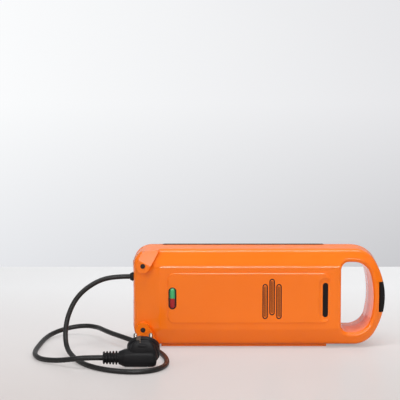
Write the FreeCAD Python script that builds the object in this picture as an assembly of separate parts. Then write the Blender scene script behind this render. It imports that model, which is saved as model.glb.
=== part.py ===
import FreeCAD, Part
import math
import os
from FreeCAD import Vector

os.makedirs("parts", exist_ok=True)

# Electric maker for fluted dough sticks, standing on its lower long side.
# X runs from the hinge end to the handle, Y away from the viewer, Z up.
# The two halves part at Y = 0, and the floor is Z = 0.

# Overall size of the shells
LENGTH = 340.0
PLATE_HEIGHT = 135.0
RIM_PROUD = 0.8
HALF_DEPTH = 45.0
SIDE_DEPTH = 33.0
SIDE_DRAFT = 3.1
SHOULDER_INSET = 25.0
FACE_START = 37.0
FACE_DROP = 0.5
SHOULDER_ROUND = 8.0
CREST_ROUND = 8.0
LEFT_CORNER = 25.0
FACE_CORNER = 6.0
NOSE_RADIUS = 95.0
NOSE_CORNER = 35.0
WALL = 2.6
PARTING_GAP = 0.2

# Loop handle
GRIP_WIDTH = 20.0
RAIL_WIDTH = 21.4
HOLE_LENGTH = 40.5
HOLE_CORNER = 9.0
HOLE_NOSE = 120.0
HOLE_NOSE_CORNER = 22.0
HOLE_DRAFT = 2.2
HOLE_ROUND = 4.0

# Flat land under each half, for standing
LAND_BACK = 12.0
LAND_WIDTH = 15.0
LAND_HEIGHT = 5.0

# Baking plates
HINGE_SPACE = 39.0
HANDLE_SPACE = 19.5
PLATE_CORNER = 4.0
RIM_THICK = 1.6
DECK_THICK = 3.0
POCKET_STRAIGHT = 27.0
TROUGH_COUNT = 4
TROUGH_PITCH = 27.5
TROUGH_MARGIN = 12.5
TROUGH_WALL = 2.2
FLUTE_OUTER = 10.8
FLUTE_INNER = 8.3
FLUTE_POINTS = 10
CLEAR = 0.3

# Raised panel on the front face
PANEL_START = 48.0
PANEL_OVERLAP = 2.0
PANEL_MARGIN = 33.5
PANEL_CORNER = 9.0
PANEL_RISE = 0.9
PANEL_BEVEL = 0.8

# Indicator window
WINDOW_SPACE = 6.5
WINDOW_WIDTH = 10.4
WINDOW_HEIGHT = 29.0
WINDOW_FRAME = 1.4
WINDOW_DEPTH = 6.0
BEZEL_BACK = 10.0
LENS_PROUD = 0.7

# Vent slot and its dish
VENT_SPACE = 5.5
VENT_DROP = 2.5
VENT_WIDTH = 7.2
VENT_HEIGHT = 46.0
DISH_WIDTH = 19.0
DISH_HEIGHT = 60.0
DISH_DEPTH = 1.6
DISH_SLOPE = 4.0
VENT_DEPTH = 8.0
VENT_SUNK = 0.9

# Corner legs with round buffers
HUMP_INSET = 15.5
HUMP_DROP = 24.3
HUMP_RADIUS = 9.2
HUMP_RISE = 0.9
HUMP_LEAN = 62.0
HUMP_REACH = 30.0
HUMP_FALL = 7.5
BUFFER_LAND = 4.5
BUFFER_RADIUS = 3.3
BUFFER_PROUD = 0.8
BUFFER_SUNK = 4.0
BUFFER_ROUND = 1.2

# Hinge at the cord end
HINGE_INSET = 5.5
KNUCKLE_RADIUS = 5.5
KNUCKLE_LENGTH = 18.0
KNUCKLE_OFFSET = 27.0
KNUCKLE_GAP = 0.4
HINGE_RELIEF = 9.3
HINGE_PIN_RADIUS = 2.0
RUNNING_FIT = 0.05
WEB_DEPTH = 10.0

# Latch at the tip of the handle
LATCH_HALF = 20.0
LATCH_BITE = 11.1
LATCH_BOSS_RADIUS = 2.6
LATCH_PIVOT_DEPTH = 31.0
LATCH_REACH = 12.0
LATCH_PIN_RADIUS = 1.2
LATCH_PIN_ENTRY = 3.6
LATCH_ARM = 5.0
NIB_HEIGHT = 1.4
NIB_LENGTH = 4.0
BEAD_START = 2.5
BEAD_LENGTH = 4.5
BEAD_HEIGHT = 1.3
SLOT_CLEAR = 0.4

# Heaters and screws
HEATER_RADIUS = 3.3
HEATER_TAIL = 8.0
SCREW_RADIUS = 1.6
SCREW_HEAD = 3.2
SCREW_HEAD_THICK = 2.0
SCREW_LENGTH = 8.0
POST_RADIUS = 4.0
FOOT_RADIUS = 8.0
FOOT_HEIGHT = 2.2
FOOT_SPACE = 13.0
FOOT_DROP = 33.7
FOOT_SINK = 1.2
FOOT_ROUND = 1.0

# Inner electrics
BOARD_WIDTH = 14.0
BOARD_HEIGHT = 36.0
BOARD_THICK = 1.6
LAMP_RADIUS = 2.4
LAMP_HEIGHT = 4.0
BRACKET_WIDTH = 16.0
BRACKET_THICK = 1.5
THERMOSTAT_RADIUS = 8.0
THERMOSTAT_BASE = 5.0
THERMOSTAT_CAP_RADIUS = 6.0
THERMOSTAT_CAP = 4.0
FUSE_RADIUS = 2.0
FUSE_LENGTH = 26.0
FUSE_SPACE = 62.0
BLOCK_WIDTH = 22.0
BLOCK_HEIGHT = 24.0
BLOCK_THICK = 10.0
BLOCK_SPACE = 29.5
WELL_RADIUS = 2.0
WELL_DEPTH = 3.0
WELL_PITCH = 7.5
WELL_INSET = 5.0

# Cord and plug
CORD_DIAMETER = 6.5
GLAND_HEIGHT = 93.0
GLAND_DEPTH = 20.0
GLAND_RADIUS = 5.4
GLAND_NOSE = 4.0
GLAND_FLANGE = 1.0
GLAND_BODY = 12.0
PLUG_BAR_RADIUS = 10.6
PLUG_BAR_LENGTH = 46.0
PLUG_BAR_TAPER = 7.0
PLUG_BAR_ROUND = 4.0
PLUG_RELIEF_LENGTH = 19.0
PLUG_RELIEF_RADIUS = 8.4
PLUG_RELIEF_CORE = 6.2
PLUG_RIBS = 5
PLUG_DISC_RADIUS = 19.5
PLUG_DISC_THICK = 16.0
PLUG_DISC_FORWARD = 2.0
PLUG_TILT = 40.0
PLUG_PIN_RADIUS = 2.4
PLUG_PIN_LENGTH = 19.0
PLUG_PIN_SPACING = 19.0
PLUG_PIN_ROUND = 1.4
CLIP_WIDTH = 6.0
CLIP_THICK = 0.8
CLIP_INSET = 5.0

# Places worked out from the sizes above
MID = PLATE_HEIGHT / 2
SHELL_HALF = PLATE_HEIGHT / 2 - RIM_PROUD
LEFT = -LENGTH / 2
RIGHT = LENGTH / 2
NOSE_X = RIGHT - NOSE_RADIUS
HINGE_X = LEFT + HINGE_INSET
HOLE_RIGHT = RIGHT - GRIP_WIDTH
HOLE_LEFT = HOLE_RIGHT - HOLE_LENGTH
HOLE_HALF = SHELL_HALF - RAIL_WIDTH
PLATE_LEFT = LEFT + HINGE_SPACE
PLATE_RIGHT = HOLE_LEFT - HANDLE_SPACE
TROUGH_LENGTH = PLATE_RIGHT - PLATE_LEFT - 2 * TROUGH_MARGIN
PANEL_LEFT = LEFT + PANEL_START
PANEL_RIGHT = PLATE_RIGHT + PANEL_OVERLAP
PANEL_HALF = SHELL_HALF - PANEL_MARGIN
PANEL_FACE = HALF_DEPTH + PANEL_RISE
WINDOW_X = PANEL_LEFT + WINDOW_SPACE
VENT_X = PANEL_RIGHT - VENT_SPACE
VENT_Z = MID - VENT_DROP
HUMP_X = LEFT + HUMP_INSET
HUMP_Z = SHELL_HALF - HUMP_DROP
HUMP_TOP = HALF_DEPTH + HUMP_RISE
LATCH_INNER = RIGHT - LATCH_BITE
LATCH_ARM_INNER = RIGHT - LATCH_ARM
FOOT_Z = SHELL_HALF - FOOT_DROP
POCKET_LEFT = PLATE_LEFT + WALL
POCKET_RIGHT = PLATE_RIGHT - WALL
POCKET_HALF = SHELL_HALF - SIDE_DRAFT - WALL
TROUGH_BACK = FLUTE_OUTER + TROUGH_WALL
TROUGH_MID = (PLATE_LEFT + PLATE_RIGHT) / 2
SIDE_SLOPE = SIDE_DRAFT / (SIDE_DEPTH - PARTING_GAP)
GLAND_SEAT = LEFT + SIDE_SLOPE * (GLAND_DEPTH - GLAND_RADIUS - GLAND_FLANGE - PARTING_GAP) - RUNNING_FIT
GLAND_FACE = GLAND_SEAT - GLAND_NOSE

# Chosen points of the cord, from the gland round the plug and back to it
CORD_ROUTE = [
    Vector(GLAND_FACE, -GLAND_DEPTH, GLAND_HEIGHT),
    Vector(-196.0, -20.0, 93.0),
    Vector(-219.0, -30.0, 87.0),
    Vector(-241.0, -45.0, 71.0),
    Vector(-252.5, -57.0, 47.0),
    Vector(-255.0, -68.0, 24.0),
    Vector(-250.5, -86.0, 9.0),
    Vector(-239.0, -116.0, 4.0),
    Vector(-223.5, -151.0, 3.4),
    Vector(-204.5, -176.0, 3.5),
    Vector(-181.0, -192.0, 3.4),
    Vector(-157.0, -198.0, 3.5),
    Vector(-135.0, -189.5, 3.4),
    Vector(-121.5, -167.0, 3.5),
    Vector(-119.5, -137.0, 3.4),
    Vector(-124.0, -107.0, 3.6),
    Vector(-133.0, -81.0, 4.6),
    Vector(-150.0, -62.0, 8.0),
    Vector(-168.0, -49.0, 12.0),
    Vector(-185.0, -33.0, 14.5),
    Vector(-199.0, -13.0, 15.0),
    Vector(-211.5, 8.0, 15.5),
    Vector(-214.0, 34.5, 14.0),
    Vector(-234.5, 55.0, 12.0),
    Vector(-263.5, 55.0, 9.0),
    Vector(-284.0, 34.5, 6.0),
    Vector(-291.5, 2.0, 4.0),
    Vector(-293.0, -37.0, 3.4),
    Vector(-293.0, -78.0, 3.5),
    Vector(-288.0, -107.0, 3.4),
    Vector(-276.0, -128.0, 3.6),
    Vector(-257.0, -143.0, 5.5),
    Vector(-237.0, -157.0, 10.0),
    Vector(-219.0, -166.0, 14.0),
    Vector(-197.0, -166.0, 14.0),
]

# Each half is drawn as the front one, towards -Y, and the rear one is its mirror image.


def box(x0, x1, y0, y1, z0, z1):
    low = Vector(min(x0, x1), min(y0, y1), min(z0, z1))
    return Part.makeBox(abs(x1 - x0), abs(y1 - y0), abs(z1 - z0), low)


def rod(radius, length, start, direction):
    return Part.makeCylinder(radius, length, start, direction)


def fuse_all(shapes):
    return shapes[0].multiFuse(shapes[1:]).removeSplitter() if len(shapes) > 1 else shapes[0]


def to_rear(shape):
    return shape.mirror(Vector(0, 0, 0), Vector(0, 1, 0))


def arc_wire_points(centre_x, centre_z, radius, start_deg, end_deg, depth):
    """Start, middle and end of an arc in the plane of the outline."""
    points = []
    for angle in (start_deg, (start_deg + end_deg) / 2, end_deg):
        turn = math.radians(angle)
        points.append(Vector(centre_x + radius * math.cos(turn), -depth, centre_z + radius * math.sin(turn)))
    return points


def closed_wire(arcs):
    """Arcs in order, joined by straight lines."""
    edges = []
    for index, arc in enumerate(arcs):
        edges.append(Part.Arc(*arc).toShape())
        following = arcs[(index + 1) % len(arcs)][0]
        if arc[2].distanceToPoint(following) > 1e-6:
            edges.append(Part.LineSegment(arc[2], following).toShape())
    return Part.Wire(edges)


def nosed_outline(left, half, left_corner, nose_corner, nose_radius, nose_x, depth):
    """A long outline with a square end at the left and a full nose at the right."""
    centre_x = nose_x + math.sqrt((nose_radius - nose_corner) ** 2 - (half - nose_corner) ** 2)
    lean = math.degrees(math.atan2(half - nose_corner, centre_x - nose_x))
    high = MID + half
    low = MID - half
    return closed_wire([
        arc_wire_points(left + left_corner, high - left_corner, left_corner, 180, 90, depth),
        arc_wire_points(centre_x, high - nose_corner, nose_corner, 90, lean, depth),
        arc_wire_points(nose_x, MID, nose_radius, lean, -lean, depth),
        arc_wire_points(centre_x, low + nose_corner, nose_corner, -lean, -90, depth),
        arc_wire_points(left + left_corner, low + left_corner, left_corner, -90, -180, depth),
    ])


def shell_outline(inset, depth, left_inset=None):
    left_inset = inset if left_inset is None else left_inset
    return nosed_outline(LEFT + left_inset, SHELL_HALF - inset, max(LEFT_CORNER - inset, FACE_CORNER),
                         NOSE_CORNER - inset, NOSE_RADIUS - inset, NOSE_X, depth)


def hole_outline(outset, depth):
    nose = HOLE_NOSE + outset
    return nosed_outline(HOLE_LEFT - outset, HOLE_HALF + outset, HOLE_CORNER + outset,
                         HOLE_NOSE_CORNER + outset, nose, HOLE_RIGHT - HOLE_NOSE, depth)


def rounded_outline(x0, x1, half, corner, depth):
    return closed_wire([
        arc_wire_points(x0 + corner, MID + half - corner, corner, 180, 90, depth),
        arc_wire_points(x1 - corner, MID + half - corner, corner, 90, 0, depth),
        arc_wire_points(x1 - corner, MID - half + corner, corner, 0, -90, depth),
        arc_wire_points(x0 + corner, MID - half + corner, corner, -90, -180, depth),
    ])


def rounded_slab(x0, x1, half, corner, depth0, depth1):
    """A slab between two depths with rounded corners."""
    outline = rounded_outline(x0, x1, half, corner, depth0)
    return Part.Face(outline).extrude(Vector(0, depth0 - depth1, 0))


def edges_at_depth(shape, depth, tolerance=0.01):
    """Edges that lie wholly in one plane parallel to the parting plane."""
    found = []
    for edge in shape.Edges:
        bounds = edge.BoundBox
        if abs(bounds.YMin + depth) < tolerance and abs(bounds.YMax + depth) < tolerance:
            found.append(edge)
    return found


def shell_body():
    """Outer form of one half, with drafted sides, sloping shoulders and the hole of the loop."""
    face = HALF_DEPTH - FACE_DROP
    body = Part.makeLoft([
        shell_outline(0, PARTING_GAP),
        shell_outline(SIDE_DRAFT, SIDE_DEPTH),
        shell_outline(SHOULDER_INSET, face, FACE_START),
    ], True, True)
    body = body.makeFillet(SHOULDER_ROUND, edges_at_depth(body, SIDE_DEPTH))
    body = body.makeFillet(CREST_ROUND, edges_at_depth(body, face))
    hole = Part.makeLoft([hole_outline(0, 0), hole_outline(HOLE_DRAFT, HALF_DEPTH)], True, True)
    body = body.cut(hole)
    return body.makeFillet(HOLE_ROUND, hole_rim(body))


def hole_rim(body):
    """Edges where the hole meets the front of the shell."""
    rim = []
    for edge in body.Edges:
        bounds = edge.BoundBox
        shallow = -bounds.YMax > SIDE_DEPTH
        inside = (bounds.XMin > HOLE_LEFT - 2 * HOLE_DRAFT and bounds.XMax < HOLE_RIGHT + 2 * HOLE_DRAFT
                  and bounds.ZMax < MID + HOLE_HALF + 2 * HOLE_DRAFT and bounds.ZMin > MID - HOLE_HALF - 2 * HOLE_DRAFT)
        if shallow and inside:
            rim.append(edge)
    return rim


def upright_slot(centre_x, width, height, depth0, depth1, mid=MID):
    """A round-ended upright slot between two depths."""
    radius = width / 2
    reach = height / 2 - radius
    ends = [rod(radius, depth1 - depth0, Vector(centre_x, -depth1, mid + side * reach), Vector(0, 1, 0))
            for side in (-1, 1)]
    middle = box(centre_x - radius, centre_x + radius, -depth0, -depth1, mid - reach, mid + reach)
    return fuse_all([middle] + ends)


def plate_pocket():
    """Room for the baking plate and what lies behind it."""
    deep = HALF_DEPTH - FACE_DROP - WALL
    narrow = SHELL_HALF - SHOULDER_INSET - WALL
    lower = Part.makeLoft([
        rounded_outline(POCKET_LEFT, POCKET_RIGHT, POCKET_HALF, PLATE_CORNER, 0),
        rounded_outline(POCKET_LEFT, POCKET_RIGHT, POCKET_HALF, PLATE_CORNER, POCKET_STRAIGHT),
        rounded_outline(POCKET_LEFT, POCKET_RIGHT, narrow, PLATE_CORNER, deep),
    ], True, True)
    rim_seat = box(PLATE_LEFT - CLEAR, PLATE_RIGHT + CLEAR, 0, -(CLEAR + RIM_THICK), -1, PLATE_HEIGHT + 1)
    return lower.fuse(rim_seat)


def screw_places():
    left = (PLATE_LEFT + TROUGH_MID - TROUGH_LENGTH / 2) / 2
    right = (PLATE_RIGHT + TROUGH_MID + TROUGH_LENGTH / 2) / 2
    return [(x, MID + side * TROUGH_PITCH) for x in (left, right) for side in (-1, 1)]


def screw_posts():
    deck_back = CLEAR + DECK_THICK
    posts = []
    for x, z in screw_places():
        post = rod(POST_RADIUS, HALF_DEPTH - WALL - deck_back, Vector(x, -deck_back, z), Vector(0, -1, 0))
        pilot = rod(SCREW_RADIUS + RUNNING_FIT, SCREW_LENGTH, Vector(x, -deck_back, z), Vector(0, -1, 0))
        posts.append(post.cut(pilot))
    return posts


def knuckle(low, high):
    """One hinge knuckle of the front half with the web that carries it."""
    axis = Vector(HINGE_X, 0, low)
    barrel = rod(KNUCKLE_RADIUS, high - low, axis, Vector(0, 0, 1))
    web = box(HINGE_X - KNUCKLE_RADIUS + 1, HINGE_X + KNUCKLE_RADIUS, 0, -WEB_DEPTH, low, high)
    bore = rod(HINGE_PIN_RADIUS + RUNNING_FIT, high - low, axis, Vector(0, 0, 1))
    return barrel.fuse(web).cut(bore)


def knuckles(inner):
    """The pair of knuckles of one half, one above and one below the middle."""
    near = KNUCKLE_OFFSET - KNUCKLE_LENGTH if inner else KNUCKLE_OFFSET + KNUCKLE_GAP / 2
    far = KNUCKLE_OFFSET - KNUCKLE_GAP / 2 if inner else KNUCKLE_OFFSET + KNUCKLE_LENGTH
    return [knuckle(MID + near, MID + far), knuckle(MID - far, MID - near)]


def bare_half():
    """What the two halves share, drawn as the front one."""
    land = box(PLATE_LEFT, PLATE_RIGHT, -LAND_BACK, -(LAND_BACK + LAND_WIDTH), 0, LAND_HEIGHT)
    relief = rod(HINGE_RELIEF, PLATE_HEIGHT + 2, Vector(HINGE_X, 0, -1), Vector(0, 0, 1))
    half = shell_body().fuse(land).cut(relief).cut(plate_pocket())
    return half.multiFuse(screw_posts())


def stadium_outline(centre_x, width, height, depth, mid):
    radius = width / 2
    reach = height / 2 - radius
    return closed_wire([
        arc_wire_points(centre_x, mid + reach, radius, 180, 0, depth),
        arc_wire_points(centre_x, mid - reach, radius, 0, -180, depth),
    ])


def dish_cut():
    """A shallow dish with sloping sides round the vent slot."""
    rise = PANEL_FACE - DISH_DEPTH
    grow = DISH_SLOPE / DISH_DEPTH
    top = DISH_DEPTH + 1
    inner = DISH_WIDTH - 2 * DISH_SLOPE
    return Part.makeLoft([
        stadium_outline(VENT_X, inner, DISH_HEIGHT - 2 * DISH_SLOPE, rise, VENT_Z),
        stadium_outline(VENT_X, inner + 2 * grow * top, DISH_HEIGHT - 2 * DISH_SLOPE + 2 * grow * top,
                        rise + top, VENT_Z),
    ], True, True)


def latch_slot(inner_x, depth):
    low = MID - LATCH_HALF - SLOT_CLEAR
    high = MID + LATCH_HALF + SLOT_CLEAR
    return box(inner_x, RIGHT + 1, 1, -depth, low, high)


def humps():
    """Leaning legs at the hinge corners, each level round its buffer and falling to the long side."""
    along = Vector(math.cos(math.radians(HUMP_LEAN)), 0, math.sin(math.radians(HUMP_LEAN)))
    across = Vector(-along.z, 0, along.x)
    foot = Vector(HUMP_X, 0, MID + HUMP_Z)
    base = SIDE_DEPTH - SHOULDER_ROUND
    low, high = -2 * HUMP_RADIUS, HUMP_REACH + 2 * HUMP_RADIUS
    steps = [(low, base), (low, HUMP_TOP), (BUFFER_LAND, HUMP_TOP), (HUMP_REACH, HUMP_TOP - HUMP_FALL),
             (high, HUMP_TOP - HUMP_FALL), (high, base), (low, base)]
    side_view = [foot + along * reach - Vector(0, depth, 0) - across * (2 * HUMP_RADIUS) for reach, depth in steps]
    wedge = Part.Face(Part.makePolygon(side_view)).extrude(across * (4 * HUMP_RADIUS))
    ends = [rod(HUMP_RADIUS, HUMP_TOP - base, foot + along * reach - Vector(0, base, 0), Vector(0, -1, 0))
            for reach in (0, HUMP_REACH)]
    corners = [foot - Vector(0, base, 0) + along * reach + across * (side * HUMP_RADIUS)
               for reach, side in ((0, -1), (HUMP_REACH, -1), (HUMP_REACH, 1), (0, 1), (0, -1))]
    middle = Part.Face(Part.makePolygon(corners)).extrude(Vector(0, base - HUMP_TOP, 0))
    sides = Part.makeLoft([shell_outline(0, 0), shell_outline(SIDE_SLOPE * HUMP_TOP, HUMP_TOP)], True, True)
    upper = fuse_all(ends + [middle]).common(wedge).common(sides)
    lower = upper.mirror(Vector(0, 0, MID), Vector(0, 0, 1))
    return [upper, lower]


def buffer_rods(radius, sunk, proud):
    return [rod(radius, sunk + proud, Vector(HUMP_X, -(HUMP_TOP - sunk), MID + side * HUMP_Z), Vector(0, -1, 0))
            for side in (-1, 1)]


def gland_start():
    """Where the gland's flange leaves the end wall."""
    return Vector(GLAND_SEAT, -GLAND_DEPTH, GLAND_HEIGHT)


def front_shell():
    panel = rounded_slab(PANEL_LEFT, PANEL_RIGHT, PANEL_HALF, PANEL_CORNER, HALF_DEPTH - WALL, PANEL_FACE)
    window = upright_slot(WINDOW_X, WINDOW_WIDTH, WINDOW_HEIGHT, HALF_DEPTH - BEZEL_BACK, PANEL_FACE + 1)
    front_edges = [edge for edge in panel.Edges if abs(edge.BoundBox.YMax + PANEL_FACE) < 0.01]
    panel = panel.makeChamfer(PANEL_BEVEL, front_edges)
    dish = dish_cut()
    backing = upright_slot(VENT_X, VENT_WIDTH + 2 * WALL, VENT_HEIGHT + 2 * WALL,
                           PANEL_FACE - VENT_DEPTH - WALL, HALF_DEPTH - WALL, VENT_Z)
    vent = upright_slot(VENT_X, VENT_WIDTH, VENT_HEIGHT, PANEL_FACE - VENT_DEPTH, PANEL_FACE + 1, VENT_Z)
    shell = bare_half().multiFuse([panel] + humps() + knuckles(True) + [backing])
    gland_bore = rod(GLAND_RADIUS, GLAND_BODY, gland_start(), Vector(1, 0, 0))
    pin_bore = latch_pin_rod(LATCH_PIN_RADIUS + RUNNING_FIT)
    slot = latch_slot(LATCH_INNER - SLOT_CLEAR, HALF_DEPTH)
    sockets = buffer_rods(BUFFER_RADIUS, BUFFER_SUNK, BUFFER_PROUD)
    return shell.cut([window, dish, vent, gland_bore, pin_bore, slot] + sockets).removeSplitter()


def rear_shell():
    catch_x = LATCH_ARM_INNER - NIB_HEIGHT - CLEAR - BEAD_HEIGHT
    shell = bare_half().cut(latch_slot(catch_x, LATCH_REACH + 1))
    bead = box(catch_x - WALL, catch_x + BEAD_HEIGHT, -BEAD_START, -(BEAD_START + BEAD_LENGTH),
               MID - LATCH_HALF, MID + LATCH_HALF)
    recesses = [rod(FOOT_RADIUS + RUNNING_FIT, FOOT_SINK + 1, spot, Vector(0, -1, 0))
                for spot in foot_spots()]
    shell = shell.multiFuse(knuckles(False) + [bead]).cut(recesses)
    return to_rear(shell.removeSplitter())


def foot_spots():
    depth = HALF_DEPTH - FACE_DROP - FOOT_SINK
    return [Vector(x, -depth, MID + side * FOOT_Z) for x in (PLATE_LEFT + FOOT_SPACE, PLATE_RIGHT - FOOT_SPACE)
            for side in (-1, 1)]


def rear_feet():
    feet = [rod(FOOT_RADIUS, FOOT_SINK + FOOT_HEIGHT, spot, Vector(0, -1, 0)) for spot in foot_spots()]
    rounded = []
    for foot in feet:
        rim = [edge for edge in foot.Edges if abs(edge.BoundBox.YMax - foot.BoundBox.YMin) < 0.01]
        rounded.append(foot.makeFillet(FOOT_ROUND, rim))
    return to_rear(Part.makeCompound(rounded))


def flute_face(centre_z):
    """Half of a fluted star, open towards the parting plane."""
    step = 180.0 / FLUTE_POINTS
    points = []
    for index in range(FLUTE_POINTS + 1):
        radius = FLUTE_OUTER if index % 2 == 0 else FLUTE_INNER
        turn = math.radians(index * step)
        points.append(Vector(TROUGH_MID - TROUGH_LENGTH / 2, -CLEAR - radius * math.sin(turn),
                             centre_z + radius * math.cos(turn)))
    points.append(points[-1] + Vector(0, CLEAR, 0))
    points.append(points[0] + Vector(0, CLEAR, 0))
    points.append(points[0])
    return Part.Face(Part.makePolygon(points))


def half_round(shape, start, middle):
    """The part of a round bar that lies in front of the plate's mating face."""
    wide = 2 * TROUGH_BACK
    length = TROUGH_LENGTH + 2 * TROUGH_WALL
    return shape.common(box(start, start + length, -CLEAR, -wide, middle - wide, middle + wide))


def trough_middles():
    return [MID + (index - (TROUGH_COUNT - 1) / 2) * TROUGH_PITCH for index in range(TROUGH_COUNT)]


def baking_plate():
    rim = rounded_slab(PLATE_LEFT, PLATE_RIGHT, PLATE_HEIGHT / 2, PLATE_CORNER, CLEAR, CLEAR + RIM_THICK)
    deck = rounded_slab(POCKET_LEFT + CLEAR, POCKET_RIGHT - CLEAR, POCKET_HALF - CLEAR, PLATE_CORNER,
                        CLEAR, CLEAR + DECK_THICK)
    start = TROUGH_MID - TROUGH_LENGTH / 2 - TROUGH_WALL
    length = TROUGH_LENGTH + 2 * TROUGH_WALL
    backs = []
    flutes = []
    for middle in trough_middles():
        back = rod(TROUGH_BACK, length, Vector(start, -CLEAR, middle), Vector(1, 0, 0))
        backs.append(half_round(back, start, middle))
        flutes.append(flute_face(middle).extrude(Vector(TROUGH_LENGTH, 0, 0)))
    holes = []
    for x, z in screw_places():
        holes.append(rod(SCREW_RADIUS + CLEAR, DECK_THICK + 1, Vector(x, 0, z), Vector(0, -1, 0)))
        holes.append(rod(SCREW_HEAD + CLEAR, CLEAR + SCREW_HEAD_THICK, Vector(x, 0, z), Vector(0, -1, 0)))
    return rim.multiFuse([deck] + backs).cut(flutes + holes).removeSplitter()


def plate_screws():
    screws = []
    for x, z in screw_places():
        head = rod(SCREW_HEAD, SCREW_HEAD_THICK - CLEAR, Vector(x, -2 * CLEAR, z), Vector(0, -1, 0))
        seat = CLEAR + SCREW_HEAD_THICK
        shank = rod(SCREW_RADIUS, SCREW_LENGTH, Vector(x, -seat, z), Vector(0, -1, 0))
        screws.append(head.fuse(shank))
    return Part.makeCompound(screws)


def heater():
    """A sheathed element bent into a long loop behind the troughs."""
    depth = CLEAR + TROUGH_BACK + CLEAR + HEATER_RADIUS
    bend_x = TROUGH_MID + TROUGH_LENGTH / 2 - TROUGH_PITCH - HEATER_TAIL
    start_x = TROUGH_MID - TROUGH_LENGTH / 2 + HEATER_TAIL
    legs = [Vector(start_x, -depth, MID + side * TROUGH_PITCH) for side in (1, -1)]
    turns = [Vector(bend_x, -depth, MID + side * TROUGH_PITCH) for side in (1, -1)]
    path = Part.Wire([
        Part.LineSegment(legs[0], turns[0]).toShape(),
        Part.Arc(turns[0], Vector(bend_x + TROUGH_PITCH, -depth, MID), turns[1]).toShape(),
        Part.LineSegment(turns[1], legs[1]).toShape(),
    ])
    section = Part.Wire(Part.Circle(legs[0], Vector(1, 0, 0), HEATER_RADIUS).toShape())
    return path.makePipeShell([section], True, False)


def hinge_pins():
    near = KNUCKLE_OFFSET - KNUCKLE_LENGTH
    length = 2 * KNUCKLE_LENGTH
    return Part.makeCompound([
        rod(HINGE_PIN_RADIUS, length, Vector(HINGE_X, 0, MID + near), Vector(0, 0, 1)),
        rod(HINGE_PIN_RADIUS, length, Vector(HINGE_X, 0, MID - near - length), Vector(0, 0, 1)),
    ])


def latch_pivot():
    return Vector(LATCH_INNER + LATCH_BOSS_RADIUS, -LATCH_PIVOT_DEPTH, MID)


def latch_pin_rod(radius):
    reach = LATCH_HALF + LATCH_PIN_ENTRY
    return rod(radius, 2 * reach, latch_pivot() - Vector(0, 0, reach), Vector(0, 0, 1))


def latch():
    """Snap clip that swings out about its pin, with a nib behind the bead of the rear half."""
    low = MID - LATCH_HALF
    high = MID + LATCH_HALF
    pivot = latch_pivot()
    front_end = -(LATCH_PIVOT_DEPTH + LATCH_BOSS_RADIUS)
    arm = box(LATCH_ARM_INNER, RIGHT, 0, LATCH_REACH, low, high)
    nib = box(LATCH_ARM_INNER - NIB_HEIGHT, RIGHT, LATCH_REACH - NIB_LENGTH, LATCH_REACH, low, high)
    grip = box(pivot.x, RIGHT, front_end, 0, low, high)
    back = box(LATCH_INNER, RIGHT, -LATCH_PIVOT_DEPTH, -2, low, high)
    boss = rod(LATCH_BOSS_RADIUS, 2 * LATCH_HALF, pivot - Vector(0, 0, LATCH_HALF), Vector(0, 0, 1))
    clip = fuse_all([arm, nib, grip, back, boss])
    noses = [drafted_nose(Vector(0, -1, 0), -front_end + 1), drafted_nose(Vector(0, 1, 0), LATCH_REACH + 1)]
    return clip.common(fuse_all(noses)).cut(latch_pin_rod(LATCH_PIN_RADIUS + RUNNING_FIT)).removeSplitter()


def drafted_nose(direction, depth):
    """The cone that the tip of the handle follows."""
    tip = Vector(NOSE_X, 0, MID)
    return Part.makeCone(NOSE_RADIUS, NOSE_RADIUS - SIDE_SLOPE * depth, depth, tip, direction)


def indicator_bezel():
    back = HALF_DEPTH - BEZEL_BACK
    outer = upright_slot(WINDOW_X, WINDOW_WIDTH - 2 * RUNNING_FIT, WINDOW_HEIGHT - 2 * RUNNING_FIT,
                         back, PANEL_FACE + LENS_PROUD - CLEAR)
    inner = lens_slot(back - 1, PANEL_FACE + 2)
    reach = (WINDOW_WIDTH - WINDOW_FRAME) / 2
    bar = box(WINDOW_X - reach, WINDOW_X + reach, -back, -(PANEL_FACE - WINDOW_FRAME), MID - WINDOW_FRAME / 2, MID + WINDOW_FRAME / 2)
    return outer.cut(inner).fuse(bar)


def lens_slot(depth0, depth1, slack=0.0):
    shrink = 2 * WINDOW_FRAME + 2 * slack
    return upright_slot(WINDOW_X, WINDOW_WIDTH - shrink, WINDOW_HEIGHT - shrink, depth0, depth1)


def lens(side):
    """One half of the window, green above and red below."""
    whole = lens_slot(PANEL_FACE - WINDOW_DEPTH / 2, PANEL_FACE + LENS_PROUD, RUNNING_FIT)
    gap = RUNNING_FIT
    keep = box(WINDOW_X - WINDOW_WIDTH, WINDOW_X + WINDOW_WIDTH, -(PANEL_FACE - WINDOW_FRAME + gap), -2 * PANEL_FACE,
               MID + side * gap, MID + side * WINDOW_HEIGHT)
    return whole.common(keep)


def lamp_board():
    back = HALF_DEPTH - BEZEL_BACK
    board = box(WINDOW_X - BOARD_WIDTH / 2, WINDOW_X + BOARD_WIDTH / 2, -back, -(back - BOARD_THICK),
                MID - BOARD_HEIGHT / 2, MID + BOARD_HEIGHT / 2)
    lamps = [rod(LAMP_RADIUS, LAMP_HEIGHT, Vector(WINDOW_X, -back, MID + side * WINDOW_HEIGHT / 4), Vector(0, -1, 0))
             for side in (-1, 1)]
    return fuse_all([board] + lamps)


def vent_insert():
    return upright_slot(VENT_X, VENT_WIDTH - 2 * RUNNING_FIT, VENT_HEIGHT - 2 * RUNNING_FIT,
                        PANEL_FACE - VENT_DEPTH, PANEL_FACE - DISH_DEPTH - VENT_SUNK, VENT_Z)


def corner_buffers():
    rods = buffer_rods(BUFFER_RADIUS - RUNNING_FIT, BUFFER_SUNK, BUFFER_PROUD)
    domed = []
    for piece in rods:
        rim = [edge for edge in piece.Edges if abs(edge.BoundBox.YMax - piece.BoundBox.YMin) < 0.01]
        domed.append(piece.makeFillet(BUFFER_ROUND, rim))
    return Part.makeCompound(domed)


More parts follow.
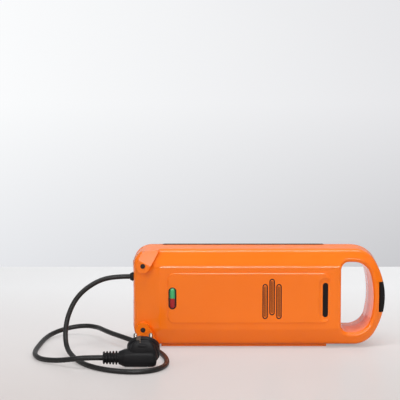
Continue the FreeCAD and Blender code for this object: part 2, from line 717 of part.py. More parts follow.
def bracket_depth():
    """Depth just behind the troughs, where the bracket lies."""
    return CLEAR + TROUGH_BACK + CLEAR


def thermostat_bracket():
    top = bracket_depth()
    width = BRACKET_WIDTH / 2
    half = TROUGH_PITCH - HEATER_RADIUS - 4 * CLEAR
    return box(TROUGH_MID - width, TROUGH_MID + width, -top, -(top + BRACKET_THICK), MID - half, MID + half)


def thermostat():
    top = bracket_depth() + BRACKET_THICK
    base = rod(THERMOSTAT_RADIUS, THERMOSTAT_BASE, Vector(TROUGH_MID, -top, MID), Vector(0, -1, 0))
    cap_start = Vector(TROUGH_MID, -(top + THERMOSTAT_BASE), MID)
    cap = rod(THERMOSTAT_CAP_RADIUS, THERMOSTAT_CAP, cap_start, Vector(0, -1, 0))
    return base.fuse(cap)


def thermal_fuse():
    depth = CLEAR + TROUGH_BACK + CLEAR + FUSE_RADIUS
    return rod(FUSE_RADIUS, FUSE_LENGTH, Vector(TROUGH_MID - FUSE_SPACE, -depth, trough_middles()[2]), Vector(1, 0, 0))


def terminal_block():
    wall = HALF_DEPTH - FACE_DROP - WALL
    left = PLATE_LEFT + BLOCK_SPACE + CLEAR
    right = left + BLOCK_WIDTH
    block = box(left, right, -wall, -(wall - BLOCK_THICK), MID - BLOCK_HEIGHT / 2, MID + BLOCK_HEIGHT / 2)
    wells = [rod(WELL_RADIUS, WELL_DEPTH, Vector(x, -(wall - BLOCK_THICK), MID + row * WELL_PITCH), Vector(0, -1, 0))
             for x in (left + WELL_INSET, right - WELL_INSET) for row in (-1, 0, 1)]
    return block.cut(wells)


def cord_gland():
    start = gland_start()
    body_rod = rod(GLAND_RADIUS - RUNNING_FIT, GLAND_BODY, start, Vector(1, 0, 0))
    flange = GLAND_RADIUS + GLAND_FLANGE
    nose = Part.makeCone(flange, CORD_DIAMETER / 2 + GLAND_FLANGE, GLAND_NOSE, start, Vector(-1, 0, 0))
    return body_rod.fuse(nose)


def cord_radii(points):
    """Largest tangent arc at each inner point of the route."""
    radii = []
    for before, here, after in zip(points, points[1:], points[2:]):
        turn = (here - before).getAngle(after - here)
        shorter = min(here.distanceToPoint(before), here.distanceToPoint(after))
        radii.append(0.45 * shorter / math.tan(turn / 2))
    return radii


def cord_path(points):
    edges = []
    end = points[0]
    for index, radius in enumerate(cord_radii(points)):
        before, here, after = points[index:index + 3]
        back = (before - here).normalize()
        ahead = (after - here).normalize()
        half = back.getAngle(ahead) / 2
        reach = radius / math.tan(half)
        first = here + back * reach
        last = here + ahead * reach
        bisector = (back + ahead).normalize()
        centre = here + bisector * (radius / math.sin(half))
        middle = centre - bisector * radius
        edges.append(Part.LineSegment(end, first).toShape())
        edges.append(Part.Arc(first, middle, last).toShape())
        end = last
    edges.append(Part.LineSegment(end, points[-1]).toShape())
    return Part.Wire(edges)


def power_cord():
    path = cord_path(CORD_ROUTE)
    section = Part.Wire(Part.Circle(CORD_ROUTE[0], CORD_ROUTE[1] - CORD_ROUTE[0], CORD_DIAMETER / 2).toShape())
    tube = path.makePipeShell([section], True, False)
    runs = [a.distanceToPoint(b) for a, b in zip(CORD_ROUTE, CORD_ROUTE[1:])]
    expected = path.Length * math.pi * (CORD_DIAMETER / 2) ** 2
    print("cord radii", [round(radius, 1) for radius in cord_radii(CORD_ROUTE)])
    print("cord runs", [round(run, 1) for run in runs])
    print("cord length", round(path.Length, 1), "volume over section times length", tube.Volume / expected)
    return tube


def tilt_plug(shape):
    """Lean the plug back on its lower edge about the line of its cord."""
    end = CORD_ROUTE[-1]
    return shape.rotate(end, Vector(1, 0, 0), PLUG_TILT)


def plug_relief():
    start = CORD_ROUTE[-1]
    pitch = PLUG_RELIEF_LENGTH / PLUG_RIBS
    pieces = [rod(PLUG_RELIEF_CORE, PLUG_RELIEF_LENGTH, start, Vector(1, 0, 0))]
    for index in range(PLUG_RIBS):
        rib_start = start + Vector(index * pitch, 0, 0)
        pieces.append(rod(PLUG_RELIEF_RADIUS, pitch * 0.6, rib_start, Vector(1, 0, 0)))
    return fuse_all(pieces)


def plug_body():
    start = CORD_ROUTE[-1] + Vector(PLUG_RELIEF_LENGTH, 0, 0)
    taper = Part.makeCone(PLUG_RELIEF_RADIUS, PLUG_BAR_RADIUS, PLUG_BAR_TAPER, start, Vector(1, 0, 0))
    bar_start = start + Vector(PLUG_BAR_TAPER, 0, 0)
    bar = rod(PLUG_BAR_RADIUS, PLUG_BAR_LENGTH - PLUG_BAR_TAPER, bar_start, Vector(1, 0, 0))
    rim = [edge for edge in bar.Edges if abs(edge.BoundBox.XMin - bar.BoundBox.XMax) < 0.01]
    bar = bar.makeFillet(PLUG_BAR_ROUND, rim)
    disc = rod(PLUG_DISC_RADIUS, PLUG_DISC_THICK, plug_disc_start(), Vector(0, 1, 0))
    return fuse_all([taper, bar, disc])


def plug_disc_start():
    middle_x = PLUG_RELIEF_LENGTH + PLUG_BAR_LENGTH - PLUG_DISC_RADIUS + PLUG_DISC_FORWARD
    return CORD_ROUTE[-1] + Vector(middle_x, PLUG_DISC_FORWARD, 0)


def plug_pins():
    face = plug_disc_start() + Vector(0, PLUG_DISC_THICK, 0)
    pins = []
    for side in (-1, 1):
        spot = face + Vector(side * PLUG_PIN_SPACING / 2, 0, 0)
        pin = rod(PLUG_PIN_RADIUS, PLUG_PIN_LENGTH, spot, Vector(0, 1, 0))
        tip = [edge for edge in pin.Edges if abs(edge.BoundBox.YMin - pin.BoundBox.YMax) < 0.01]
        pins.append(pin.makeFillet(PLUG_PIN_ROUND, tip))
    return Part.makeCompound(pins)


def earth_clips():
    """Bent metal contacts on the rim of the plug's face."""
    start = plug_disc_start()
    clips = []
    for side in (-1, 1):
        z0 = start.z + side * PLUG_DISC_RADIUS
        clips.append(box(start.x - CLIP_WIDTH / 2, start.x + CLIP_WIDTH / 2, start.y + CLIP_INSET,
                         start.y + PLUG_DISC_THICK - CLIP_THICK, z0, z0 + side * CLIP_THICK))
    return Part.makeCompound(clips)


NODES = {
    "front_shell": front_shell,
    "rear_shell": rear_shell,
    "front_plate": baking_plate,
    "rear_plate": lambda: to_rear(baking_plate()),
    "front_plate_screws": plate_screws,
    "rear_plate_screws": lambda: to_rear(plate_screws()),
    "front_heater": heater,
    "rear_heater": lambda: to_rear(heater()),
    "hinge_pins": hinge_pins,
    "latch": latch,
    "latch_pin": lambda: latch_pin_rod(LATCH_PIN_RADIUS),
    "indicator_bezel": indicator_bezel,
    "ready_lens": lambda: lens(1),
    "power_lens": lambda: lens(-1),
    "lamp_board": lamp_board,
    "vent_insert": vent_insert,
    "corner_buffers": corner_buffers,
    "rear_feet": rear_feet,
    "thermostat_bracket": thermostat_bracket,
    "thermostat": thermostat,
    "thermal_fuse": thermal_fuse,
    "terminal_block": terminal_block,
    "cord_gland": cord_gland,
    "power_cord": power_cord,
    "plug_relief": plug_relief,
    "plug_body": lambda: tilt_plug(plug_body()),
    "plug_pins": lambda: tilt_plug(plug_pins()),
    "earth_clips": lambda: tilt_plug(earth_clips()),
}

for name, make in NODES.items():
    shape = make()
    print(name, "valid", shape.isValid(), "solids", len(shape.Solids), "volume", round(shape.Volume, 1))
    shape.exportStep("parts/" + name + ".step")
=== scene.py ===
import math

import bmesh
import bpy
from mathutils import Matrix, Vector


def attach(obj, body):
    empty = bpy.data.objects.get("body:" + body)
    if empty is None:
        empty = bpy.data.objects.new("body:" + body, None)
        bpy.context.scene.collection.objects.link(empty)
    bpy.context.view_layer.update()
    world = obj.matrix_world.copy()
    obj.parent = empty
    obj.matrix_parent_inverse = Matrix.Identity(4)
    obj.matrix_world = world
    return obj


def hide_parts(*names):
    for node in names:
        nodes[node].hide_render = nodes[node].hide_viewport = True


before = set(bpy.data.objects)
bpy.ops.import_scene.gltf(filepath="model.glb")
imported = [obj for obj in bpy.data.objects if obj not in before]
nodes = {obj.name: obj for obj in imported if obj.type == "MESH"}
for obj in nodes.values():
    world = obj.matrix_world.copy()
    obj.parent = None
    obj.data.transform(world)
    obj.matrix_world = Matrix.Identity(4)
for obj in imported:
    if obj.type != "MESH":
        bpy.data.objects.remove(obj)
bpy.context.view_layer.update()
MM = 0.001


def new_object(name, data):
    made = bpy.data.objects.new(name, data)
    bpy.context.scene.collection.objects.link(made)
    return made


# Camera at the photograph's place: a little above the object, in front of its cord end

EYE = Vector((-0.0791, -1.5, 0.300))
LOOK_DOWN = 4.028
FOCAL_PIXELS = 1112.0
FRAME_PIXELS = 400.0
SENSOR_WIDTH = 36.0

camera_data = bpy.data.cameras.new("camera")
camera_data.sensor_width = SENSOR_WIDTH
camera_data.lens = SENSOR_WIDTH * FOCAL_PIXELS / FRAME_PIXELS
camera_data.clip_start = 0.05
camera_data.clip_end = 60.0
camera = new_object("camera", camera_data)
camera.location = EYE
camera.rotation_euler = (math.radians(90.0 - LOOK_DOWN), 0, 0)
bpy.context.scene.camera = camera


# Mains cord: the chosen points of its route, from the gland to the plug, in millimetres

CORD_DIAMETER = 6.5
CORD_ROUTE = [
    (-173.0, -20.0, 93.0),
    (-196.0, -20.0, 93.0),
    (-219.0, -30.0, 87.0),
    (-241.0, -45.0, 71.0),
    (-252.5, -57.0, 47.0),
    (-255.0, -68.0, 24.0),
    (-250.5, -86.0, 9.0),
    (-239.0, -116.0, 4.0),
    (-223.5, -151.0, 3.4),
    (-204.5, -176.0, 3.5),
    (-181.0, -192.0, 3.4),
    (-157.0, -198.0, 3.5),
    (-135.0, -189.5, 3.4),
    (-121.5, -167.0, 3.5),
    (-119.5, -137.0, 3.4),
    (-124.0, -107.0, 3.6),
    (-133.0, -81.0, 4.6),
    (-150.0, -62.0, 8.0),
    (-168.0, -49.0, 12.0),
    (-185.0, -33.0, 14.5),
    (-200.5, -11.0, 15.0),
    (-213.0, 11.0, 15.5),
    (-221.0, 34.0, 14.0),
    (-238.5, 50.5, 13.8),
    (-263.5, 54.0, 10.2),
    (-284.0, 34.5, 6.0),
    (-291.5, 2.0, 4.0),
    (-293.0, -37.0, 3.4),
    (-293.0, -78.0, 3.5),
    (-288.0, -107.0, 3.4),
    (-276.0, -128.0, 3.6),
    (-257.0, -143.0, 5.5),
    (-237.0, -157.0, 10.0),
    (-219.0, -166.0, 14.0),
    (-197.0, -166.0, 14.0),
]


def cord_curve(name, route, radius):
    curve = bpy.data.curves.new(name, "CURVE")
    curve.dimensions = "3D"
    curve.bevel_depth = radius
    curve.bevel_resolution = 6
    curve.resolution_u = 10
    curve.use_fill_caps = True
    spline = curve.splines.new("NURBS")
    spline.points.add(len(route) - 1)
    for point, place in zip(spline.points, route):
        point.co = (place[0] * MM, place[1] * MM, place[2] * MM, 1.0)
    spline.order_u = 3
    spline.use_endpoint_u = True
    return new_object(name, curve)


# Places and sizes that the added pieces share with the construction, in millimetres

PANEL_FACE = 45.9
WINDOW_X = -115.5
WINDOW_MIDDLE = 67.5
WINDOW_WIDTH = 10.4
WINDOW_HEIGHT = 29.0
WINDOW_FRAME = 1.4
PLUG_TILT = 40.0
RELIEF_LENGTH = 19.0
RELIEF_RADIUS = 8.4
BAR_LENGTH = 46.0
DISC_RADIUS = 19.5
DISC_FORWARD = 2.0


# Materials: colours are linear, and the scales of noise are per metre


class Signal:
    """One output of a material's nodes, which can be used in sums."""

    def __init__(self, finish, socket):
        self.finish = finish
        self.socket = socket

    def math(self, operation, first, second=None):
        return self.finish.node("ShaderNodeMath", {"operation": operation}, {0: first, 1: second})

    def held(self):
        """Keep the value between 0 and 1."""
        return self.finish.node("ShaderNodeMath", {"operation": "ADD", "use_clamp": True},
                                {0: self, 1: 0.0})

    def __add__(self, other):
        return self.math("ADD", self, other)

    __radd__ = __add__

    def __sub__(self, other):
        return self.math("SUBTRACT", self, other)

    def __rsub__(self, other):
        return self.math("SUBTRACT", other, self)

    def __mul__(self, other):
        return self.math("MULTIPLY", self, other)

    __rmul__ = __mul__

    def __gt__(self, other):
        return self.math("GREATER_THAN", self, other)


class Nodes:
    """The nodes of a material or of the world."""

    def __init__(self, tree):
        self.tree = tree

    def plug(self, target, value):
        """Link a signal to a socket, or set the socket to a number or colour."""
        if isinstance(value, Signal):
            self.tree.links.new(value.socket, target)
        elif value is not None:
            if target.type == "RGBA" and len(value) == 3:
                value = (*value, 1.0)
            target.default_value = value

    def node(self, kind, settings=None, sockets=None, output=0):
        made = self.tree.nodes.new(kind)
        for setting, value in (settings or {}).items():
            setattr(made, setting, value)
        for socket, value in (sockets or {}).items():
            self.plug(made.inputs[socket], value)
        return Signal(self, made.outputs[output])

    def place(self):
        return self.node("ShaderNodeTexCoord", output="Object")

    def along(self, axis):
        return self.node("ShaderNodeSeparateXYZ", None, {0: self.place()}, axis)

    def noise(self, scale, detail=2.0, place=None):
        return self.node("ShaderNodeTexNoise", None,
                         {"Vector": place or self.place(), "Scale": scale, "Detail": detail})

    def blend(self, share, first, second):
        """Mix two colours."""
        return self.node("ShaderNodeMix", {"data_type": "RGBA"}, {0: share, 6: first, 7: second}, 2)


class Finish(Nodes):
    """A procedural material with one Principled shader."""

    def __init__(self, name, color, roughness, **fixed):
        self.material = bpy.data.materials.new(name)
        self.material.use_nodes = True
        super().__init__(self.material.node_tree)
        self.shader = self.tree.nodes["Principled BSDF"]
        self.set("Base Color", color)
        self.set("Roughness", roughness)
        for socket, value in fixed.items():
            self.set(socket.replace("_", " "), value)

    def set(self, socket, value):
        self.plug(self.shader.inputs[socket], value)

    def bump(self, height, strength, distance):
        self.set("Normal", self.node("ShaderNodeBump", None,
                                     {"Strength": strength, "Distance": distance, "Height": height}))


def orange_gloss():
    """Lacquered orange moulding with faint orange peel and a few finger marks."""
    finish = Finish("orange_gloss", (0.93, 0.185, 0.004), 0.2, IOR=1.45, Specular_IOR_Level=0.32,
                    Coat_Weight=0.27, Coat_Roughness=0.04)
    cloud = finish.noise(9.0, 3.0)
    marks = finish.noise(60.0, 4.0)
    peel = finish.noise(420.0, 1.0)
    finish.set("Base Color", finish.blend(cloud, (0.905, 0.168, 0.003), (0.95, 0.200, 0.006)))
    finish.set("Roughness", 0.13 + marks * 0.14 + cloud * 0.05)
    finish.bump(peel + 0.3 * marks, 0.12, 0.0002)
    return finish.material


def nonstick():
    """Grey-black baking coat over cast aluminium, with a fine speckle."""
    finish = Finish("nonstick", (0.03, 0.03, 0.032), 0.42, Metallic=0.25)
    speckle = finish.noise(1900.0, 2.0)
    wear = finish.noise(28.0, 4.0)
    spots = (speckle > 0.63) * 0.5
    finish.set("Base Color", finish.blend(spots, (0.022, 0.022, 0.024), (0.16, 0.16, 0.165)))
    finish.set("Roughness", 0.34 + 0.22 * wear)
    finish.bump(speckle, 0.25, 0.0003)
    return finish.material


def moulded(name, dark, pale, roughness, grain, depth, **fixed):
    """Black or pale plastic and rubber, with the grain of its mould."""
    finish = Finish(name, dark, roughness, **fixed)
    texture = finish.noise(grain, 3.0)
    cloud = finish.noise(45.0, 3.0)
    finish.set("Base Color", finish.blend(cloud, dark, pale))
    finish.set("Roughness", roughness - 0.08 + 0.2 * texture)
    finish.bump(texture, depth, 0.0003)
    return finish.material


def metal(name, color, pale, roughness, stretch):
    """Drawn or turned metal with fine lines across it."""
    finish = Finish(name, color, roughness, Metallic=1.0)
    place = finish.node("ShaderNodeMapping", None, {"Vector": finish.place(), "Scale": stretch})
    lines = finish.noise(1.0, 2.0, place)
    finish.set("Base Color", finish.blend(lines, color, pale))
    finish.set("Roughness", roughness - 0.08 + 0.18 * lines)
    finish.bump(lines, 0.12, 0.0001)
    return finish.material


LENS_FADE = 62000.0  # how fast the painted glow of the lamp falls off across the window, per square metre
LENS_RIBS = 260.0


def lens(name, deep, bright):
    """Clear tinted plastic over a lamp, with the lamp's glow painted in: bright in the middle and ribbed
    behind.
    """
    finish = Finish(name, deep, 0.1, IOR=1.45, Coat_Weight=0.5, Coat_Roughness=0.03,
                    Specular_IOR_Level=0.3)
    ribs = finish.node("ShaderNodeTexWave", {"bands_direction": "Z"},
                       {"Vector": finish.place(), "Scale": LENS_RIBS, "Distortion": 0.4}, 1)
    across = finish.along("X") - WINDOW_X * MM
    middle = (1.0 - LENS_FADE * (across * across)).held()
    # Painted glow of the lamp behind: the base colour is bright in the middle of the window and darker
    # towards its edges
    finish.set("Base Color", finish.blend((middle * (0.7 + 0.3 * ribs)).held(), deep, bright))
    finish.set("Roughness", 0.06 + 0.08 * finish.noise(300.0))
    return finish.material


ORANGE = orange_gloss()
NONSTICK = nonstick()
BLACK = moulded("black_plastic", (0.006, 0.005, 0.005), (0.011, 0.009, 0.009),
                roughness=0.3, grain=1500.0, depth=0.15, Specular_IOR_Level=0.13)
RUBBER = moulded("black_rubber", (0.010, 0.009, 0.009), (0.018, 0.016, 0.016),
                 roughness=0.6, grain=2200.0, depth=0.3, Specular_IOR_Level=0.2)
SHEATH = moulded("cord_sheath", (0.008, 0.007, 0.007), (0.014, 0.013, 0.012),
                 roughness=0.4, grain=900.0, depth=0.2, Specular_IOR_Level=0.3)
PLUG_BLACK = moulded("plug_black", (0.007, 0.007, 0.008), (0.012, 0.011, 0.012),
                     roughness=0.42, grain=1300.0, depth=0.3, Specular_IOR_Level=0.13)
STEEL = metal("steel", (0.52, 0.52, 0.53), (0.68, 0.68, 0.69),
              roughness=0.3, stretch=(900.0, 900.0, 60.0))
NICKEL = metal("nickel", (0.20, 0.175, 0.16), (0.29, 0.26, 0.24),
               roughness=0.26, stretch=(700.0, 90.0, 700.0))
CLIP_METAL = metal("clip_metal", (0.15, 0.105, 0.08), (0.22, 0.165, 0.13),
                   roughness=0.34, stretch=(700.0, 90.0, 700.0))
BOARD = moulded("board", (0.70, 0.66, 0.55), (0.80, 0.77, 0.68), roughness=0.5, grain=700.0, depth=0.15)
GREEN = lens("green_lens", (0.008, 0.05, 0.02), (0.06, 0.50, 0.17))
RED = lens("red_lens", (0.06, 0.001, 0.002), (0.42, 0.004, 0.008))
PRINT = moulded("print_black", (0.006, 0.005, 0.005), (0.012, 0.01, 0.01),
                roughness=0.5, grain=900.0, depth=0.1, Specular_IOR_Level=0.1)

DRESS = {
    "front_shell": ORANGE, "rear_shell": ORANGE,
    "front_plate": NONSTICK, "rear_plate": NONSTICK,
    "front_plate_screws": STEEL, "rear_plate_screws": STEEL,
    "front_heater": STEEL, "rear_heater": STEEL,
    "hinge_pins": STEEL, "latch": BLACK, "latch_pin": STEEL,
    "indicator_bezel": BLACK, "ready_lens": GREEN, "power_lens": RED, "lamp_board": BOARD,
    "vent_insert": BLACK, "corner_buffers": RUBBER, "rear_feet": RUBBER,
    "thermostat_bracket": STEEL, "thermostat": STEEL, "thermal_fuse": BOARD, "terminal_block": BOARD,
    "cord_gland": RUBBER, "power_cord": SHEATH, "plug_relief": PLUG_BLACK, "plug_body": PLUG_BLACK,
    "plug_pins": NICKEL, "earth_clips": CLIP_METAL,
}


def paint(piece, material):
    piece.data.materials.clear()
    piece.data.materials.append(material)


for name, material in DRESS.items():
    paint(nodes[name], material)


# Meshes, built in millimetres from rings of points

X_AXIS = Vector((1, 0, 0))
Y_AXIS = Vector((0, 1, 0))
Z_AXIS = Vector((0, 0, 1))


def finish_mesh(name, shape, material, node, crease=38.0):
    """Turn a built shape into a piece of the front half, which stands for a node if one is given."""
    mesh = bpy.data.meshes.new(name)
    shape.to_mesh(mesh)
    shape.free()
    mesh.shade_smooth()
    mesh.set_sharp_from_angle(angle=math.radians(crease))
    piece = new_object(name, mesh)
    paint(piece, material)
    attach(piece, "front_half")
    if node:
        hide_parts(node)
    return piece


def skin(shape, rings, closed=False):
    """Cover a row of rings with the same number of points, and close its ends or join them."""
    rows = [[shape.verts.new(point * MM) for point in ring] for ring in rings]
    for row, after in zip(rows, rows[1:] + rows[:1] if closed else rows[1:]):
        for index in range(len(row)):
            ahead = (index + 1) % len(row)
            shape.faces.new((row[index], row[ahead], after[ahead], after[index]))
    if not closed:
        shape.faces.new(rows[0][::-1])
        shape.faces.new(rows[-1])


def face_outward(shape):
    bmesh.ops.recalc_face_normals(shape, faces=shape.faces)


def turned(shape, profile, start, along, side, steps=72, trim=None):
    """Turn a profile of (distance, radius) pairs about a line, with trim changing a point's radius."""
    other = along.cross(side)
    rings = []
    for distance, radius in profile:
        ring = []
        for step in range(steps):
            turn = 2 * math.pi * step / steps
            reach = trim(turn, distance, radius) if trim else radius
            ring.append(start + along * distance + side * (reach * math.cos(turn)) +
                        other * (reach * math.sin(turn)))
        rings.append(ring)
    skin(shape, rings)


def squared_ring(centre, across, half_across, up, half_up, corner, steps):
    """A ring between an ellipse, at corner 2, and a rectangle, which higher corners come near."""
    ring = []
    for step in range(steps):
        turn = 2 * math.pi * step / steps
        c, s = math.cos(turn), math.sin(turn)
        ring.append(centre + across * (half_across * math.copysign(abs(c) ** (2 / corner), c)) +
                    up * (half_up * math.copysign(abs(s) ** (2 / corner), s)))
    return ring


# Plug: ribbed relief and grip along X, and the disc that carries the pins and leans back

RIBS = 5
RIB_TAPER = 0.18
RIB_EDGE = 0.5
NECK_RADIUS = 5.9

BAR_SECTIONS = [  # distance from the relief, half height, corner
    (0.0, 7.6, 2.0), (1.2, 8.3, 2.0), (3.0, 8.9, 2.1), (5.5, 9.9, 2.4), (7.5, 10.5, 2.9), (9.0, 10.6, 3.4),
    (20.0, 10.6, 3.6), (38.0, 10.6, 3.6), (42.0, 10.5, 3.4), (44.0, 9.9, 3.1), (45.3, 8.6, 2.8),
    (BAR_LENGTH, 6.4, 2.5),
]
BAR_SHARE = 0.97  # width as a share of height

DISC_SHIFT = 1.2
RIM_RADIUS = 20.3
GROOVE_RADIUS = 19.6
RIM_STEPS = 144
RIM_PROFILE = [  # distance back from the hub, radius
    (2.0, 16.5), (2.4, 18.0), (3.4, 19.2), (5.0, 20.0), (6.5, RIM_RADIUS), (10.6, RIM_RADIUS),
    (11.0, GROOVE_RADIUS), (11.9, GROOVE_RADIUS), (12.3, RIM_RADIUS), (16.6, RIM_RADIUS),
    (17.5, 20.0), (18.0, 19.2), (18.0, 12.0),
]
NOTCH_START = 8.0
NOTCH_HALF = 2.8
NOTCH_DEPTH = 2.6
NOTCH_REACH = 16.0

RISE_BACK = 10.0
RISE_CORNER = 5.0
RISE_STEPS = 64
RISE_LEVELS = [  # height above the hub, front edge, half width
    (2.0, -7.0, 17.8), (8.0, -4.2, 17.0), (14.0, -0.6, 14.8), (18.0, 3.2, 12.2), (20.2, 6.0, 9.8),
    (21.1, 7.4, 8.4), (21.4, 8.2, 7.6),
]

CONTACT_SIDES = [(-1, 0.0), (1, -14.0)]  # below or above the hub, lean in degrees
CONTACT_BEND = [(6.0, -0.6), (7.0, 0.5), (9.0, 1.0), (12.0, 1.15), (15.0, 0.9), (17.0, 0.3), (18.2, -0.9)]
CONTACT_HALF = 2.6
CONTACT_HALF_THICK = 0.4

plug_end = Vector(CORD_ROUTE[-1])
tilt = Matrix.Rotation(math.radians(PLUG_TILT), 3, "X")
disc_back = tilt @ Y_AXIS
disc_up = tilt @ Z_AXIS
disc_hub = plug_end + X_AXIS * (RELIEF_LENGTH + BAR_LENGTH - DISC_RADIUS + DISC_FORWARD + DISC_SHIFT)


def ribbed_relief():
    """Rounded ribs that widen towards the grip, on a thinner neck."""
    shape = bmesh.new()
    pitch = RELIEF_LENGTH / RIBS
    profile = [(0.0, 4.2), (0.1, 6.6)]
    for rib in range(RIBS):
        at = rib * pitch
        wide = RELIEF_RADIUS - RIB_TAPER * (RIBS - 1 - rib)
        profile += [(at + 0.25, wide - RIB_EDGE), (at + 0.7, wide), (at + 1.7, wide),
                    (at + 2.2, wide - RIB_EDGE), (at + 2.4, NECK_RADIUS), (at + pitch - 0.15, NECK_RADIUS)]
    profile.append((RELIEF_LENGTH + 0.4, 7.4))
    turned(shape, profile, plug_end, X_AXIS, Z_AXIS)
    return finish_mesh("plug_ribbed_relief", shape, PLUG_BLACK, "plug_relief", 30.0)


def side_notches(turn, distance, radius):
    across = abs(math.cos(turn)) * radius
    along_rim = abs(math.sin(turn)) * radius
    if distance > NOTCH_START and along_rim < NOTCH_HALF and across > NOTCH_REACH:
        return radius - NOTCH_DEPTH
    return radius


def plug_moulding():
    """The squared bar, the disc with its groove and notches, and the grip that rises to its rim."""
    shape = bmesh.new()
    bar = plug_end + X_AXIS * RELIEF_LENGTH
    skin(shape, [squared_ring(bar + X_AXIS * at, Y_AXIS, radius * BAR_SHARE, Z_AXIS, radius, corner, 48)
                 for at, radius, corner in BAR_SECTIONS])
    turned(shape, RIM_PROFILE, disc_hub, disc_back, X_AXIS, RIM_STEPS, side_notches)
    skin(shape, [squared_ring(disc_hub + disc_up * height + disc_back * ((front + RISE_BACK) / 2),
                              X_AXIS, half, disc_back, (RISE_BACK - front) / 2, RISE_CORNER, RISE_STEPS)
                 for height, front, half in RISE_LEVELS])
    face_outward(shape)
    return finish_mesh("plug_moulding", shape, PLUG_BLACK, "plug_body", 32.0)


def earth_contacts():
    """A bent strip on the rim, below and above the hub."""
    shape = bmesh.new()
    for side, degrees in CONTACT_SIDES:
        lean = math.radians(degrees)
        out = disc_up * (side * math.cos(lean)) + X_AXIS * math.sin(lean)
        across = disc_back.cross(out)
        rings = []
        for at, lift in CONTACT_BEND:
            middle = disc_hub + disc_back * at + out * (RIM_RADIUS + lift)
            rings.append([middle + across * (wide * CONTACT_HALF) + out * (thick * CONTACT_HALF_THICK)
                          for wide, thick in ((-1, -1), (1, -1), (1, 1), (-1, 1))])
        skin(shape, rings)
    face_outward(shape)
    return finish_mesh("earth_contacts", shape, CLIP_METAL, "earth_clips", 30.0)


# Indicator window: two domed lenses that meet in the middle

LENS_CLEARANCE = 0.1
LENS_SPLIT = 0.05
LENS_ARC_STEPS = 16
LENS_CROWN = [  # height above the panel's face, inset of the outline
    (-3.0, 0.0), (0.45, 0.0), (0.7, 0.12), (0.95, 0.45), (1.15, 1.0), (1.27, 1.7), (1.32, 2.6),
]


def domed_lens(name, side, material, node):
    """Half of a long rounded lens, crowned across."""
    shape = bmesh.new()
    half = (WINDOW_WIDTH - 2 * WINDOW_FRAME - LENS_CLEARANCE) / 2
    top = (WINDOW_HEIGHT - 2 * WINDOW_FRAME - LENS_CLEARANCE) / 2
    straight = top - half
    rings = []
    for height, inset in LENS_CROWN:
        width = half - inset
        outline = [(-width, LENS_SPLIT)]
        for step in range(LENS_ARC_STEPS + 1):
            turn = math.pi * (1 - step / LENS_ARC_STEPS)
            outline.append((width * math.cos(turn), straight + width * math.sin(turn)))
        outline.append((width, LENS_SPLIT))
        rings.append([Vector((WINDOW_X + across, -(PANEL_FACE + height), WINDOW_MIDDLE + side * up))
                      for across, up in outline])
    skin(shape, rings)
    face_outward(shape)
    return finish_mesh(name, shape, material, node, 50.0)


# Plain motif of three upright sticks, printed on the panel

STICKS = [(6.9, 43.5, 83.0), (16.0, 48.5, 90.0), (25.1, 43.5, 83.0)]  # place along X, low and high end
STICK_HALF = 3.6
LINE_WIDTH = 1.5
FLUTE_OFFSET = 0.9
FLUTE_LINE = 0.9
PRINT_BACK = PANEL_FACE - 0.05
PRINT_FRONT = PANEL_FACE + 0.08


def stadium(middle_x, low, high, half_width, depth, steps=12):
    """A long ring with round ends, flat at one depth in front of the parting."""
    ring = []
    for end, middle_z in ((1, high), (-1, low)):
        for step in range(steps + 1):
            turn = math.pi * step / steps
            ring.append(Vector((middle_x + end * half_width * math.cos(turn), -depth,
                                middle_z + end * half_width * math.sin(turn))))
    return ring


def stick_motif():
    """Each stick is a closed band with two thin lines inside."""
    shape = bmesh.new()
    inner = STICK_HALF - LINE_WIDTH
    band = [(STICK_HALF, PRINT_BACK), (STICK_HALF, PRINT_FRONT), (inner, PRINT_FRONT), (inner, PRINT_BACK)]
    for middle_x, low, high in STICKS:
        skin(shape, [stadium(middle_x, low, high, half, depth) for half, depth in band], closed=True)
        for across in (-FLUTE_OFFSET, FLUTE_OFFSET):
            skin(shape, [stadium(middle_x + across, low, high, FLUTE_LINE / 2, depth, 6)
                         for depth in (PRINT_BACK, PRINT_FRONT)])
    face_outward(shape)
    return finish_mesh("stick_motif", shape, PRINT, None)


relief = ribbed_relief()
moulding = plug_moulding()
contacts = earth_contacts()
domed_lens("ready_lens_dome", 1, GREEN, "ready_lens")
domed_lens("power_lens_dome", -1, RED, "power_lens")
stick_motif()


# Cord

cord = cord_curve("mains_cord", CORD_ROUTE, CORD_DIAMETER / 2 * MM)
paint(cord, SHEATH)
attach(cord, "front_half")
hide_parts("power_cord")


# Floor and backdrop, in metres

TABLE_HALF = 3
TABLE_BACK = 0.79
BACKDROP_HALF = 5
BACKDROP_AWAY = 2.6
BACKDROP_LOW = -2
BACKDROP_HIGH = 4
MIRRORED_SHARE = 0.22  # how much of the bright surface reflections see


def stage_material(name, lit, seen, share, sheen):
    """A pale surface with two tones: lit takes the lamps and shadows, and seen is shown as it is.

    The camera sees the given share of the second tone, and reflections a part of that. The
    sheen is a soft coat that only the camera sees.
    """
    finish = Finish(name, (0.8, 0.8, 0.8), 0.5, Specular_IOR_Level=0.0, Coat_Roughness=0.3)
    finish.set("Base Color", lit(finish))
    finish.set("Roughness", 0.36 + 0.08 * finish.noise(14.0))
    by_camera = finish.node("ShaderNodeLightPath", output="Is Camera Ray")
    finish.set("Coat Weight", sheen * by_camera)
    seen_by = by_camera + MIRRORED_SHARE * (
        finish.node("ShaderNodeLightPath", output="Is Glossy Ray") +
        finish.node("ShaderNodeLightPath", output="Is Transmission Ray"))
    glow = finish.node("ShaderNodeBsdfPrincipled", None,
                       {"Base Color": (0.0, 0.0, 0.0), "Specular IOR Level": 0.0,
                        "Emission Color": seen(finish), "Emission Strength": 1.0})
    mixed = finish.node("ShaderNodeMixShader", None,
                        {0: seen_by * share, 1: Signal(finish, finish.shader.outputs[0]), 2: glow})
    finish.plug(finish.tree.nodes["Material Output"].inputs[0], mixed)
    return finish.material


def table_tone(finish, far, near):
    """Painted shade: warmer and darker towards the viewer."""
    return finish.blend((0.55 - 1.1 * finish.along("Y")).held(), far, near)


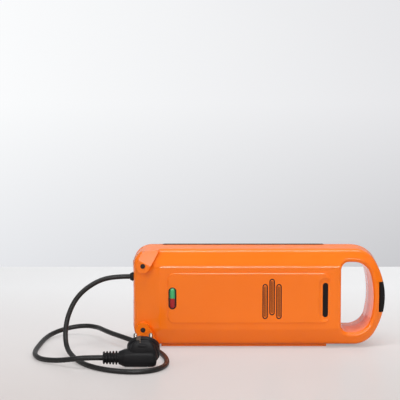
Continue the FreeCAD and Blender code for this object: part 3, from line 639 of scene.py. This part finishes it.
def table_lit(finish):
    return table_tone(finish, (0.72, 0.72, 0.73), (0.57, 0.52, 0.505))


def table_seen(finish):
    return table_tone(finish, (1.0, 1.0, 1.0), (0.66, 0.61, 0.59))


def backdrop_tone(finish):
    """White, with painted shade: greyer low down and to the right."""
    rightward = (0.5 + 0.6 * finish.along("X")).held()
    low = finish.blend(rightward, (0.79, 0.80, 0.83), (0.56, 0.56, 0.58))
    high = finish.blend(rightward, (0.98, 0.99, 1.0), (0.80, 0.80, 0.82))
    return finish.blend((0.15 + 1.5 * (finish.along("Z") + 0.2)).held(), low, high)


def sheet_mesh(name, corners, material):
    mesh = bpy.data.meshes.new(name)
    mesh.from_pydata(corners, [], [(0, 1, 2, 3)])
    sheet = new_object(name, mesh)
    paint(sheet, material)


sheet_mesh("table_top",
           [(-TABLE_HALF, -TABLE_HALF, 0), (TABLE_HALF, -TABLE_HALF, 0),
            (TABLE_HALF, TABLE_BACK, 0), (-TABLE_HALF, TABLE_BACK, 0)],
           stage_material("table_white", table_lit, table_seen, share=0.42, sheen=0.6))
sheet_mesh("backdrop",
           [(-BACKDROP_HALF, BACKDROP_AWAY, BACKDROP_LOW), (BACKDROP_HALF, BACKDROP_AWAY, BACKDROP_LOW),
            (BACKDROP_HALF, BACKDROP_AWAY, BACKDROP_HIGH), (-BACKDROP_HALF, BACKDROP_AWAY, BACKDROP_HIGH)],
           stage_material("backdrop_white", backdrop_tone, backdrop_tone, share=0.97, sheen=0.0))


# Light: each lamp's place, target and size are in metres, and its power in watts


def soft_light(name, place, target, size, watts, diffuse=True, glossy=True):
    data = bpy.data.lights.new(name, "AREA")
    data.shape = "RECTANGLE"
    data.size, data.size_y = size
    data.energy = watts
    light = new_object(name, data)
    light.location = place
    light.rotation_euler = (Vector(target) - Vector(place)).to_track_quat("-Z", "Y").to_euler()
    light.visible_diffuse = diffuse
    light.visible_glossy = glossy


soft_light("overhead", (0.12, -0.25, 1.3), (0, 0, 0.05), size=(1.2, 0.3), watts=10)
soft_light("left_window", (-1.5, -1.2, 1.0), (0, 0, 0.06), size=(0.5, 1.0), watts=11)
soft_light("right_fill", (1.5, -1.3, 0.8), (0, 0, 0.06), size=(0.5, 0.9), watts=7, glossy=False)
soft_light("rear_fill", (0.5, 2.2, 1.3), (0, 0, 0.06), size=(2.0, 1.0), watts=30, glossy=False)
soft_light("front_soft", (0.1, -3.0, 1.1), (0, 0, 0.06), size=(2.4, 1.0), watts=22, glossy=False)
soft_light("window_glint", (0.1, -2.6, 0.85), (0, 0, 0.06), size=(2.0, 0.3), watts=50, diffuse=False)


def studio_world():
    """A pale room: brighter above and behind in what it lights, and even where the camera sees it."""
    world = bpy.data.worlds.new("studio")
    world.use_nodes = True
    room = Nodes(world.node_tree)
    direction = room.node("ShaderNodeTexCoord", output="Generated")
    up = room.node("ShaderNodeSeparateXYZ", None, {0: direction}, "Z")
    back = room.node("ShaderNodeSeparateXYZ", None, {0: direction}, "Y")
    background = world.node_tree.nodes["Background"]
    room.plug(background.inputs["Color"], (0.97, 0.98, 1.0))
    seen = room.node("ShaderNodeLightPath", output="Is Camera Ray")
    lit = (0.2 + 0.35 * up + 0.15 * back).held()
    room.plug(background.inputs["Strength"], seen * 0.88 + (1.0 - seen) * lit)
    return world


bpy.context.scene.world = studio_world()
bpy.context.scene.view_settings.view_transform = "Standard"
